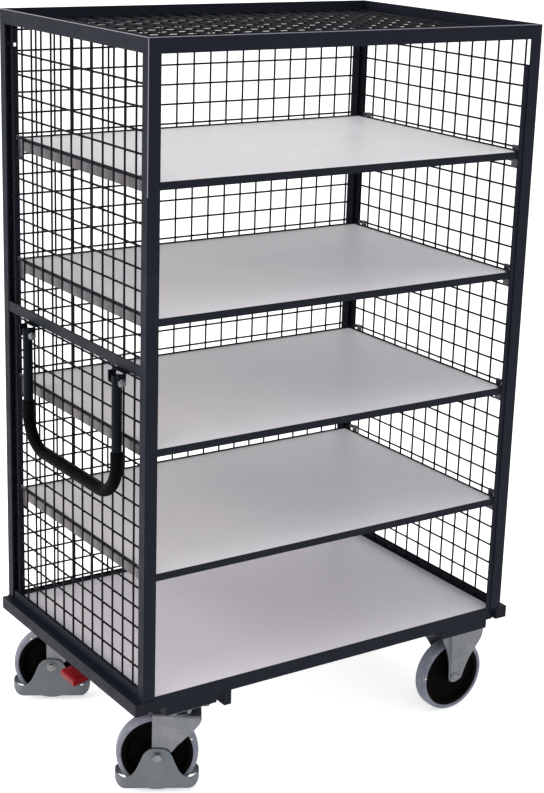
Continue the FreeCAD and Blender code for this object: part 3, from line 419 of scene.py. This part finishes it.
def rounded_box(bm, low, high, radius, steps=3):
    """Add a box with all its edges and corners rounded."""
    low, high = Vector(low), Vector(high)
    middle, core = (low + high) / 2, (high - low) / 2 - Vector((radius,) * 3)
    part = bmesh.new()
    bmesh.ops.create_cube(part, size=2.0)
    bmesh.ops.subdivide_edges(part, edges=part.edges[:], cuts=2 * steps, use_grid_fill=True)
    for vert in part.verts:
        side = Vector(math.copysign(length, along) for length, along in zip(core, vert.co))
        vert.co = middle + side + vert.co.normalized() * radius
    carrier = bpy.data.meshes.new("carrier")
    part.to_mesh(carrier)
    part.free()
    bm.from_mesh(carrier)
    bpy.data.meshes.remove(carrier)


def curved(points, x):
    """A monotone cubic through (x, value) points, for pressed and moulded outlines."""
    if x <= points[0][0]:
        return points[0][1]
    slopes = [(b[1] - a[1]) / (b[0] - a[0]) for a, b in zip(points, points[1:])]
    lean = [slopes[0]] + [0.0 if a * b <= 0 else 2 * a * b / (a + b)
                          for a, b in zip(slopes, slopes[1:])] + [slopes[-1]]
    for k, ((x0, z0), (x1, z1)) in enumerate(zip(points, points[1:])):
        if x <= x1:
            wide = x1 - x0
            t = (x - x0) / wide
            return ((2 * t ** 3 - 3 * t ** 2 + 1) * z0 + (t ** 3 - 2 * t ** 2 + t) * wide * lean[k]
                    + (3 * t ** 2 - 2 * t ** 3) * z1 + (t ** 3 - t ** 2) * wide * lean[k + 1])
    return points[-1][1]


# ---- cage, deck and shelves ------------------------------------------------------------------

SHELVES = range(1, 5)
HOOK_WIRES = (14, 1061)
ROUNDED = {
    0.9: ["end_rail_left", "end_rail_right", "post_front_left", "post_front_right",
          "post_rear_left", "post_rear_right", "top_rail_front", "top_rail_rear",
          "top_rail_left", "top_rail_right", "base_long_rails", "foot_angles", "mid_rail_left",
          "caster_channels", "cross_members"],
    0.6: ["end_rail_caps", "deck_board", "shelf_board_1", "shelf_board_2", "shelf_board_3",
          "shelf_board_4", "shelf_edges", "shelf_carriers", "shelf_hooks", "panel_strips",
          "handle_brackets", "shaft_bearings", "pedal_arm", "brake_shaft",
          "swivel_plate_front_left", "swivel_plate_rear_left", "brake_shoe_front_left",
          "brake_shoe_rear_left"],
    0.7: ["handle_bolts", "caster_bolts", "fixed_axle_bolts", "axle_bolt_front_left",
          "axle_bolt_rear_left", "panel_screws"],
}


def rounded_nodes():
    """Stand a rounded copy in for each node whose CAD edges are sharp, by width in millimetres."""
    for width, names in ROUNDED.items():
        for name in names:
            rounded_copy(name, width)


def separate_wires(node):
    """The (low, high) corners of each straight wire in a panel."""
    bm = bmesh.new()
    bm.from_mesh(NODES[node].data)
    bmesh.ops.remove_doubles(bm, verts=bm.verts, dist=2e-6)
    left, boxes = set(bm.verts), []
    while left:
        stack, group = [left.pop()], []
        while stack:
            vert = stack.pop()
            group.append(vert.co.copy())
            for edge in vert.link_edges:
                other = edge.other_vert(vert)
                if other in left:
                    left.discard(other)
                    stack.append(other)
        boxes.append((Vector(min(c[k] for c in group) for k in range(3)),
                      Vector(max(c[k] for c in group) for k in range(3))))
    bm.free()
    return sorted(boxes, key=lambda pair: tuple(pair[0]))


WIRE_SIDES = 10
WIRE_END = 0.55
SPOT_WIDE, SPOT_FLAT = 1.45, 0.7


def drawn_wire(bm, low, high, axis, radius):
    """Add a round wire between two corners, drawn in a little at its ends."""
    half = (high - low)[axis] / 2
    shoulder = 1 - radius * 0.5 / half
    across, up = [k for k in range(3) if k != axis]
    rings = []
    for along, scale in ((-1, WIRE_END), (-shoulder, 1.0), (shoulder, 1.0), (1, WIRE_END)):
        ring = []
        for k in range(WIRE_SIDES):
            turn = 2 * math.pi * k / WIRE_SIDES
            point = (low + high) / 2
            point[axis] += along * half
            point[across] += scale * radius * math.cos(turn)
            point[up] += scale * radius * math.sin(turn)
            ring.append(point)
        rings.append(ring)
    skin(bm, rings, capped=True)


def weld_spots(bm, first, second, axis_a, axis_b, radius):
    """Add a flattened ball where each wire of one way crosses a wire of the other."""
    normal = 3 - axis_a - axis_b
    for middle_a, half_a in first:
        for middle_b, half_b in second:
            if (abs(middle_a[axis_a] - middle_b[axis_a]) < half_a
                    and abs(middle_b[axis_b] - middle_a[axis_b]) < half_b):
                centre = Vector((0, 0, 0))
                centre[axis_a] = middle_b[axis_a]
                centre[axis_b] = middle_a[axis_b]
                centre[normal] = (middle_a[normal] + middle_b[normal]) / 2
                scale = [SPOT_WIDE * radius] * 3
                scale[normal] = SPOT_FLAT * radius
                ball(bm, centre, scale, 1)


def wire_panel(node):
    """Round drawn wires, fused by a flattened weld spot at every crossing."""
    bm = bmesh.new()
    ways = {}
    for low, high in separate_wires(node):
        size = high - low
        axis = max(range(3), key=lambda k: size[k])
        radius = min(size) / 2
        drawn_wire(bm, low, high, axis, radius)
        ways.setdefault(axis, []).append(((low + high) / 2, size[axis] / 2))
    first, second = sorted(ways)
    weld_spots(bm, ways[first], ways[second], first, second, radius)
    piece(node + "_wires", bm, BODY_OF[node], SLOT_OF[node], node, crease=60)


def weld_beads():
    """Rippled beads along the outer edges of each post's foot."""
    bm = bmesh.new()
    pitch, ripple, lift = 0.0044, (0.0028, 0.0028, 0.0020), 0.0006
    for name, x_sign, y_sign in (("post_front_left", -1, -1), ("post_front_right", 1, -1),
                                 ("post_rear_left", -1, 1), ("post_rear_right", 1, 1)):
        low, high = corners(name)
        corner = Vector((low.x if x_sign < 0 else high.x, low.y if y_sign < 0 else high.y,
                         low.z + lift))
        for count, step in ((7, Vector((-x_sign * pitch, 0, 0))),
                            (5, Vector((0, -y_sign * pitch, 0)))):
            for k in range(count):
                ball(bm, corner + step * (k + 0.5), ripple)
    piece("post_foot_welds", bm, "cage", "frame_paint", crease=180)


def painted_highlight_edges():
    """Thin pale beads of painted highlight along the top ring's outer edges and down the front left post's corner,
    where light catches the rounded edges.
    """
    bm = bmesh.new()
    low, high = corners("top_rail_front")
    back = corners("top_rail_left")[1].y
    bead, out, highlight_down = 0.0016, 0.0002, 0.30
    # The last run paints a highlight 0.30 m down the front left post's corner.
    runs = [((low.x - out, low.y, high.z - bead), (low.x + bead, back, high.z + out)),
            ((low.x + bead, low.y - out, high.z - bead), (high.x, low.y + bead, high.z + out)),
            ((low.x - out, low.y - out, low.z - highlight_down),
             (low.x + bead, low.y + bead, high.z - bead))]
    for start, end in runs:
        rounded_box(bm, start, end, 0.0005, 1)
    piece("painted_highlight_edges", bm, "cage", "painted_highlight_coat", crease=180)


def corner_tips():
    """Small black plastic tips on the front corners of each shelf's frame."""
    bm = bmesh.new()
    reach, proud = 0.010, 0.0026
    front, back, drop, rise, radius = 0.0028, 0.008, 0.019, 0.0042, 0.0028
    for number in SHELVES:
        low, high = corners("shelf_board_%d" % number)
        for x_low, x_high in ((low.x - proud, low.x + reach), (high.x - reach, high.x + proud)):
            rounded_box(bm, (x_low, low.y - front, high.z - drop),
                        (x_high, low.y + back, high.z + rise), radius)
    piece("shelf_corner_tips", bm, "cage", "black_plastic", crease=180)


def hook_knobs():
    """The knob and bright washer that lock each rear hook on its wire."""
    knobs, washers = bmesh.new(), bmesh.new()
    knob_y, washer_y, rise = 654.5, 660, 4
    for number in SHELVES:
        z = corners("shelf_board_%d" % number)[1].z / MM + rise
        for x in HOOK_WIRES:
            ball(knobs, cage(x, knob_y, z), (0.0042, 0.0034, 0.0044), 3)
            ball(washers, cage(x, washer_y, z), (0.0048, 0.0030, 0.0052), 3)
    piece("hook_knobs", knobs, "cage", "black_plastic", crease=180)
    piece("hook_washers", washers, "cage", "zinc_screws", crease=180)


# ---- push handle -----------------------------------------------------------------------------

HANDLE_BEND = 0.085
TUBE_RADIUS = 0.012
GRIP_RADIUS = 0.0148
GRIP_LIP = [(0, 0.0128), (0.0012, 0.0143), (0.0035, 0.0150), (0.0085, 0.0150), (0.0105, 0.0144),
            (0.0125, 0.0147)]


def handle_line(node):
    """Points down one leg, round the grip and up the other, on the tube's centre line."""
    low, high = corners(node)
    radius = (high.x - low.x) / 2
    x, first, last = (low.x + high.x) / 2, low.y + radius, high.y - radius
    top, bottom, bend = high.z, low.z + radius, HANDLE_BEND
    side = [Vector((x, first, top + (bottom + bend - top) * k / 6)) for k in range(7)]
    for k in range(1, 17):
        turn = math.pi / 2 * k / 16
        side.append(Vector((x, first + bend * (1 - math.cos(turn)),
                            bottom + bend * (1 - math.sin(turn)))))
    across = [Vector((x, first + bend + (last - first - 2 * bend) * k / 8, bottom))
              for k in range(1, 8)]
    return side + across + [Vector((x, first + last - p.y, p.z)) for p in reversed(side)]


def tube_along(points, radii, sides=28):
    """A capped round tube through points in a plane across X, with a radius at each."""
    bm = bmesh.new()
    rings = []
    for k, (point, radius) in enumerate(zip(points, radii)):
        ahead = points[min(k + 1, len(points) - 1)] - points[max(k - 1, 0)]
        across = ahead.normalized().cross(Vector((1, 0, 0)))
        ring = []
        for n in range(sides):
            turn = 2 * math.pi * n / sides
            ring.append(point + Vector((1, 0, 0)) * radius * math.cos(turn)
                        + across * radius * math.sin(turn))
        rings.append(ring)
    skin(bm, rings, capped=True)
    return bm


def push_handle():
    """The bent tube, and the sleeve on it with rolled ends."""
    line = handle_line("handle_tube")
    piece("handle_tube_bent", tube_along(line, [TUBE_RADIUS] * len(line)), "push_handle",
          "handle_paint", "handle_tube", crease=60)
    line = handle_line("handle_grip")
    start, end = ([top - Vector((0, 0, down)) for down, _ in GRIP_LIP]
                  for top in (line[0], line[-1]))
    rolled = [radius for _, radius in GRIP_LIP]
    radii = rolled + [GRIP_RADIUS] * (len(line) - 2) + rolled[::-1]
    piece("handle_grip_sleeve", tube_along(start + line[1:-1] + end[::-1], radii), "push_handle",
          "grip_foam", "handle_grip", crease=60)


# ---- wheels ----------------------------------------------------------------------------------

WHEEL_CREASE = 50
# Half outlines, as (radius, distance from the wheel's middle plane) in millimetres.
TYRE = [(87, 0), (87, 17.6), (89, 19.4), (91.4, 19.6), (92.2, 18.9), (95.5, 18.3), (98.4, 15.4),
        (99.6, 10), (99.9, 1.2), (100, 0)]
RIM = [(6.1, 0), (6.1, 24.4), (9.4, 24.4), (10, 23.2), (15.5, 23.2), (17.2, 21.4), (18.6, 13),
       (24, 8.6), (39, 7.2), (40, 8.6), (43, 8.6), (44, 7.2), (66, 7.2), (70, 8.4), (74.5, 15.4),
       (77, 17.6), (85.2, 17.6), (86.9, 16.4), (86.9, 0)]
DOT_TURN = {"front_left": 0.44, "rear_left": 2.2, "front_right": 3.04, "rear_right": 0.9}
DOT_RADIUS, DOT_SIDE, DOT_SIZE = 91.0, 18.9, (2.4, 1.0, 2.4)


def wheels():
    """Tyres with eased shoulders, dished wheel centres, and wear dots."""
    for label, turn in DOT_TURN.items():
        place, body = wheel_place(label), "wheel_" + label
        piece("tyre_turned_" + label, lathe_y(eased(TYRE, 1.6), 96), body, "tyre_grey",
              "tyre_" + label, place=place, crease=WHEEL_CREASE)
        piece("rim_turned_" + label, lathe_y(eased(RIM, 1.1, 3), 80), body, "rim_black",
              "rim_" + label, place=place, crease=WHEEL_CREASE)
        dots = bmesh.new()
        for side in (-1, 1):
            ball(dots, (DOT_RADIUS * math.cos(turn), side * DOT_SIDE, DOT_RADIUS * math.sin(turn)),
                 DOT_SIZE, 3)
        piece("tyre_wear_dots_" + label, dots, body, "wear_dot", place=place, crease=180)


# ---- casters ---------------------------------------------------------------------------------

# Casters are made in millimetres about their own axes, and then placed. A fork's leg stands with
# the middle of its wall FORK_MID from the wheel's middle plane.
FORK_MID = 27.0
FORK_WALL = 4.0
GROOVE_DEEP, GROOVE_WIDE = 0.9, 2.6


def flared(x, crease, slope, ease):
    """How far a pressed side has bent outwards at x, past a crease with a shallow groove."""
    past = x - crease
    groove = GROOVE_DEEP * math.exp(-(past / GROOVE_WIDE) ** 2)
    return slope * (past + math.sqrt(past * past + ease * ease)) / 2 - groove


# The fork's front edge, as (height, x) from the swivel's axis.
NOSE_EDGE = [(87, -55), (91, -45.8), (100, -33), (109, -22), (130, -6), (150, 12), (168, 28),
             (182, 39), (192, 46), (204, 50), (213, 50)]


def fork_span(z, foot, tail, columns):
    """Places along the swivel fork's side at a height, from its back edge to its front edge."""
    low, high = tail, curved(NOSE_EDGE, z)
    below, nose_starts = FLOOR_TO_AXLE - z, 9
    reach = math.sqrt(max(0.0, foot ** 2 - below ** 2))
    if below > 0:
        low = -TRAIL - reach
    if below > nose_starts:
        high = min(high, -TRAIL + reach)
    return [low + (high - low) * k / columns for k in range(columns + 1)]


def swivel_fork_mesh():
    """One pressing: two legs with a soft upright crease, joined over the top by a round bend."""
    axle, foot, top, bend, columns = FLOOR_TO_AXLE, 13, 211.0, 9.0, 44
    tail, crease, slope, ease = -TRAIL - foot, -31, 0.19, 2.5
    heights = [axle - foot * math.cos(math.pi / 2 * k / 7) for k in range(1, 8)]
    heights += [axle + (top - bend - axle) * k / 14 for k in range(1, 15)]

    def row(z, inwards=0.0, share=1.0):
        return [Vector((x, (FORK_MID + flared(x, crease, slope, ease) - inwards) * share, z))
                for x in fork_span(z, foot, tail, columns)]

    rows = [row(z) for z in heights]
    for k in range(1, 7):
        turn = math.pi / 2 * k / 6
        rows.append(row(top - bend + bend * math.sin(turn), bend * (1 - math.cos(turn))))
    rows += [row(top, bend, share) for share in (0.6, 0.3, 0.0)]
    other = [[Vector((p.x, -p.y, p.z)) for p in line] for line in reversed(rows[:-1])]
    bm = bmesh.new()
    skin(bm, rows + other, closed=False)
    return bm


# Each edge of a fixed fork's leg, as (height, distance from the axle's line).
FIXED_RIGHT = [(83.5, 4), (86, 12), (92, 19), (100, 22), (113, 25), (137, 32), (163, 42),
               (188, 54), (216, 65.5), (234, 67.5)]
FIXED_LEFT = [(83.5, 4), (86, 12), (92, 19), (100, 21.5), (113, 22), (137, 24), (163, 31),
              (188, 43), (216, 60), (234, 67)]


def fixed_fork_mesh():
    """Two tapered legs, each with a flat middle and wings that flare to the plate's width."""
    bm = bmesh.new()
    slope, ease, columns = 0.52, 2.0, 40
    foot, narrow, top, flat_low, flat_high = 83.5, 113, 234, 12, 18.02
    heights = [foot, 84.5, 86, 88, 91, 95, 100, 106]
    heights += [narrow + (top - narrow) * k / 14 for k in range(15)]
    for side in (-1, 1):
        rows = []
        for z in heights:
            left, right = curved(FIXED_LEFT, z), curved(FIXED_RIGHT, z)
            crease = flat_low + (flat_high - flat_low) * (z - foot) / (top - foot)
            row = []
            for k in range(columns + 1):
                x = (left + right) * k / columns - left
                row.append(Vector((x, side * (FORK_MID + flared(abs(x), crease, slope, ease)), z)))
            rows.append(row)
        skin(bm, rows, closed=False)
    return bm


def plate_mesh(long, wide, low, high, corner):
    """A flat plate between two heights, with round corners."""
    bm = bmesh.new()
    rings = []
    for z in (low, high):
        ring = []
        for x_sign, y_sign, start in ((1, 1, 0), (-1, 1, 90), (-1, -1, 180), (1, -1, 270)):
            for k in range(7):
                turn = math.radians(start + 15 * k)
                ring.append(Vector((x_sign * (long / 2 - corner) + corner * math.cos(turn),
                                    y_sign * (wide / 2 - corner) + corner * math.sin(turn), z)))
        rings.append(ring)
    skin(bm, rings, capped=True)
    return bm


def fixed_casters():
    """Each fixed fork: a pair of pressed legs under its plate."""
    long, wide, thick, corner = 135, 110, 5, 10
    for label in ("front_right", "rear_right"):
        place = floor_place("wheel_spin_" + label)
        legs = piece("fixed_fork_legs_" + label, fixed_fork_mesh(), "cage", "zinc_pressed",
                     place=place)
        round_edges(thicken(legs, FORK_WALL), 0.9, 2, 40)
        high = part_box("fixed_fork_" + label)[1][2] / MM
        flat = piece("fixed_fork_plate_" + label,
                     plate_mesh(long, wide, high - thick, high, corner), "cage",
                     "zinc_pressed", "fixed_fork_" + label, place=place)
        round_edges(flat, 0.8, 2, 40)


# The guard's upper edge, as (distance from the axle's line, height).
GUARD_TOP = [(0, 121), (14, 120), (25, 115), (34, 104), (44, 80), (56, 57), (68, 46.5),
             (80, 44), (88, 46), (95, 49.5), (99, 50), (103, 48)]


def guard_path(half_long, half_wide, corner):
    """A point-symmetric walk round the guard: a side, a round corner, an end and a corner."""
    straight, across = half_long - corner, half_wide - corner
    path = [(straight - 2 * straight * k / 48, half_wide) for k in range(48)]
    for k in range(12):
        turn = math.radians(90 + 90 * k / 12)
        path.append((-straight + corner * math.cos(turn), across + corner * math.sin(turn)))
    path += [(-half_long, across - 2 * across * k / 4) for k in range(4)]
    for k in range(12):
        turn = math.radians(180 + 90 * k / 12)
        path.append((-straight + corner * math.cos(turn), -across + corner * math.sin(turn)))
    return path + [(-x, -y) for x, y in path]


def guard_mesh():
    """A thin moulded skirt: bell-shaped sides up to the axle, and low rounded ends."""
    half_long, half_wide, corner, lift, low_edge, levels = 100.5, 32.5, 24.5, 24.0, 15.0, 12
    path = guard_path(half_long, half_wide, corner)
    rows = []
    for k in range(levels + 1):
        row = []
        for x, y in path:
            end = max(0.0, abs(x) - (half_long - lift))
            bottom = low_edge + lift - math.sqrt(max(0.0, lift ** 2 - end ** 2))
            high = curved(GUARD_TOP, abs(x))
            row.append(Vector((x, y, bottom + (high - bottom) * k / levels)))
        rows.append(row)
    bm = bmesh.new()
    skin(bm, rows)
    return bm


# Closed outlines about the swivel's axis, as (radius, height). The first is a black shell of painted shade round
# the swivel's housing.
SHADE_SHELL = [(32.4, 216.4), (36.0, 216.4), (38.0, 218), (38.0, 232), (36.5, 233.8), (32.4, 233.8)]
RACE = [(11, 213), (38.5, 213), (38.5, 214.2), (36.5, 215.3), (33, 215.3), (33, 213.4),
        (11, 213.4)]
SHADE_SHELL_STARTS = {"right": -74, "left": 106}
SHADE_SHELL_SWEEP = 148


def swivel_casters():
    """Each swivel caster's fork, race and guard, and the black half shells of painted shade round its housing,
    beside the brake shaft.
    """
    for label in ("front_left", "rear_left"):
        place, body = swivel_place(label), "swivel_" + label
        fork = piece("swivel_fork_pressed_" + label, swivel_fork_mesh(), body, "zinc_pressed",
                     place=place)
        round_edges(thicken(fork, FORK_WALL), 0.9, 2, 40)
        # Black half shells, fixed to the cage, paint shade over each swivel housing.
        for half, start in SHADE_SHELL_STARTS.items():
            piece("swivel_shade_shell_%s_%s" % (half, label), lathe_z(SHADE_SHELL, 36, start, SHADE_SHELL_SWEEP),
                  "cage", "black_plastic", place=floor_place("swivel_turn_" + label))
        piece("swivel_race_" + label, lathe_z(RACE), body, "zinc_pressed",
              "swivel_fork_" + label, place=place)
        guard = piece("foot_guard_moulded_" + label, guard_mesh(), body, "guard_plastic",
                      "foot_guard_" + label, place=place @ Matrix.Translation((-TRAIL, 0, 0)))
        round_edges(thicken(guard, 3.0), 0.9, 3, 50)


# ---- pedal -----------------------------------------------------------------------------------

def pedal():
    """The red foot pad: a thick rounded wedge with grip bars across its top."""
    pad = piece("pedal_pad_moulded", merged_copy("pedal_pad"), "pedal", "pedal_red", "pedal_pad")
    round_edges(pad, 3.2, 4)
    low, high = corners("pedal_pad")
    bars = bmesh.new()
    count, half_wide, inset, deep, proud, radius = 5, 0.0016, 0.006, 0.003, 0.0016, 0.0013
    start, drop, climb = 0.004, 0.0072, 0.0068
    for k in range(count):
        share = (k + 1.2) / (count + 1.4)
        x = low.x + (high.x - low.x) * share * 0.86 + start
        z = high.z - drop + climb * (x - low.x) / (high.x - low.x)
        rounded_box(bars, (x - half_wide, low.y + inset, z - deep),
                    (x + half_wide, high.y - inset, z + proud), radius, 2)
    piece("pedal_grip_bars", bars, "pedal", "pedal_red", crease=180)


# ---- studio ----------------------------------------------------------------------------------

def soft_box(name, place, aim, size, power, colour=(1.0, 1.0, 1.0)):
    """A rectangular area light at a place, turned to its aim."""
    lamp = bpy.data.lights.new(name, "AREA")
    lamp.shape = "RECTANGLE"
    lamp.size, lamp.size_y = size
    lamp.energy = power
    lamp.color = colour
    item = bpy.data.objects.new(name, lamp)
    item.location = place
    item.rotation_euler = (Vector(aim) - Vector(place)).to_track_quat("-Z", "Y").to_euler()
    bpy.context.scene.collection.objects.link(item)


def floor():
    """A wide white floor that glows a little, so that it stays pale."""
    mesh = bpy.data.meshes.new("studio_floor")
    item = bpy.data.objects.new("studio_floor", mesh)
    bpy.context.scene.collection.objects.link(item)
    bm = bmesh.new()
    bmesh.ops.create_grid(bm, x_segments=1, y_segments=1, size=40.0)
    bm.to_mesh(mesh)
    bm.free()
    m = Shader("studio_pale").set(Roughness=0.9, Specular_IOR_Level=0.0,
                                  Emission_Color=(1.0, 1.0, 1.0, 1.0), Emission_Strength=0.5)
    shade = m.ramp(m.noise(1.5, 2.0), [(0.3, (0.92, 0.92, 0.92)), (0.7, (0.94, 0.94, 0.94))])
    mesh.materials.append(m.done(shade))


def studio():
    """A bright white room with a large soft light from the left and one overhead."""
    world = bpy.data.worlds.new("studio_air")
    world.use_nodes = True
    sky = world.node_tree.nodes["Background"]
    sky.inputs["Color"].default_value = (1.0, 1.0, 1.0, 1.0)
    sky.inputs["Strength"].default_value = 1.0
    bpy.context.scene.world = world
    bpy.context.scene.view_settings.view_transform = "Standard"
    soft_box("left_light", (-4.6, 1.2, 2.6), (0.0, 0.0, 0.9), (3.0, 2.6), 170.0,
             (1.0, 0.90, 0.87))
    soft_box("top_light", (0.2, -0.4, 4.4), (0.0, 0.0, 1.0), (3.0, 2.4), 40.0)


def camera():
    """The view from the front left, a little above the trolley's middle."""
    azimuth, down, roll = math.radians(34.12), math.radians(16.93), math.radians(1.75)
    place = Vector((-2.3365, -3.496, 2.167))
    look = Vector((math.sin(azimuth) * math.cos(down), math.cos(azimuth) * math.cos(down),
                   -math.sin(down)))
    right = Vector((math.cos(azimuth), -math.sin(azimuth), 0.0))
    up = right.cross(look)
    level_right = right * math.cos(roll) + up * math.sin(roll)
    level_up = up * math.cos(roll) - right * math.sin(roll)
    lens = bpy.data.cameras.new("view_camera")
    lens.lens = 78.4
    lens.sensor_width = 36.0
    lens.shift_x = 0.0018
    lens.shift_y = -0.0108
    item = bpy.data.objects.new("view_camera", lens)
    turn = Matrix((level_right, level_up, -look)).transposed().to_4x4()
    item.matrix_world = Matrix.Translation(place) @ turn
    bpy.context.scene.collection.objects.link(item)
    bpy.context.scene.camera = item


dress_nodes()
rounded_nodes()
for panel in ("mesh_left", "mesh_right", "mesh_rear", "mesh_roof"):
    wire_panel(panel)
weld_beads()
painted_highlight_edges()
corner_tips()
hook_knobs()
push_handle()
wheels()
swivel_casters()
fixed_casters()
pedal()
floor()
studio()
camera()
